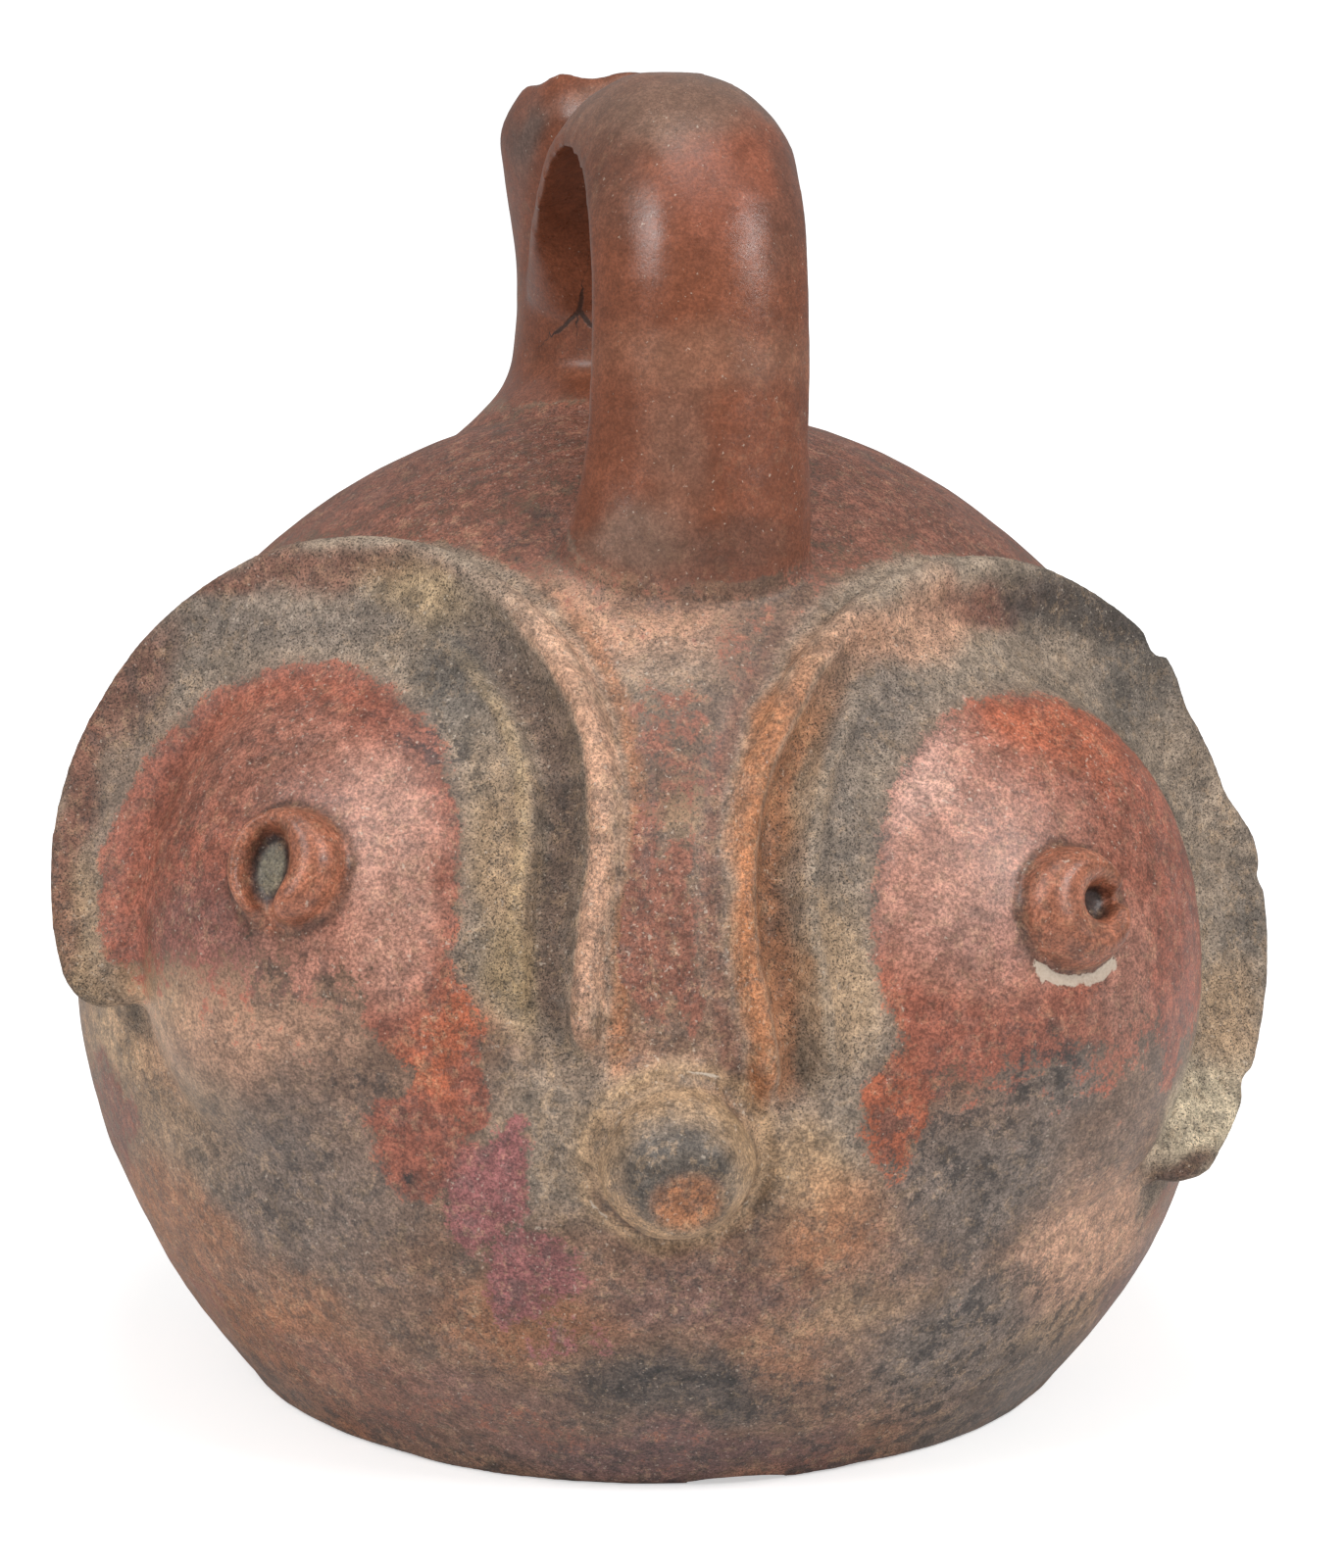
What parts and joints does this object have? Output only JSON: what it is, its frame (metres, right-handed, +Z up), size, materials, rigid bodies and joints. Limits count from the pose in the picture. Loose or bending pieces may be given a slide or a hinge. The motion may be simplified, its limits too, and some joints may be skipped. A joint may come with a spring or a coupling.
{
  "type": "owl effigy jar",
  "caption": "Hollow fired-clay spouted jar with a strap handle, its round body moulded as an owl's face with flanged eye discs, domed eyes and a blunt beak.",
  "frame": {"origin": "middle of the flat underside", "axes": "+Z up the jar, -Y out of the owl's face, +X to the viewer's right of the face"},
  "size_m": [0.1732, 0.1796, 0.1905],
  "materials": {
    "fired_clay": "burnished red-brown slip, worn to matte buff and grey in places"
  },
  "bodies": {
    "root": {"owl_effigy_jar": "fired_clay"}
  },
  "joints": []
}
